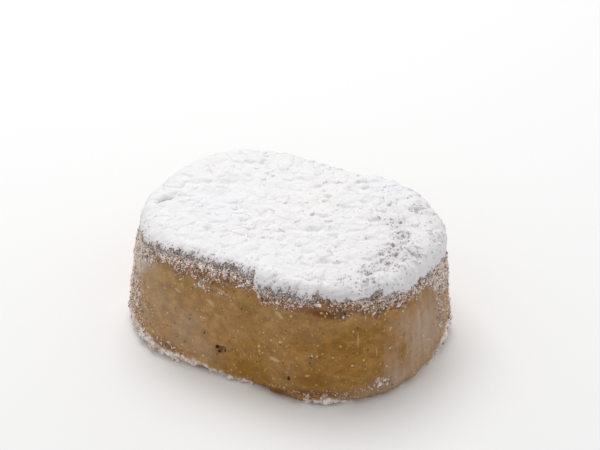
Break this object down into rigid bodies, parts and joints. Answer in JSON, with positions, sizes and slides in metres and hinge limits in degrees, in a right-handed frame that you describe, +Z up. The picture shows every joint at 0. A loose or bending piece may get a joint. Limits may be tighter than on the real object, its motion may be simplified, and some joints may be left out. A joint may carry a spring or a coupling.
{
  "type": "polvoron biscuit",
  "caption": "Thick oval almond shortbread, pressed and cut with a spread foot, under a lumpy coat of icing sugar that ends in an uneven lip.",
  "frame": {"origin": "middle of the base, on the surface it rests on", "axes": "+X along the long axis, +Y across it towards the back, +Z up through the sugar"},
  "size_m": [0.0552, 0.0426, 0.0216],
  "materials": {
    "dough_block": "dry crumbly pressed almond dough, tan brown, matt",
    "sugar_coat": "dry icing sugar, white, matt and lumpy"
  },
  "bodies": {
    "root": {"dough_block": "dough_block", "sugar_coat": "sugar_coat"}
  },
  "joints": []
}
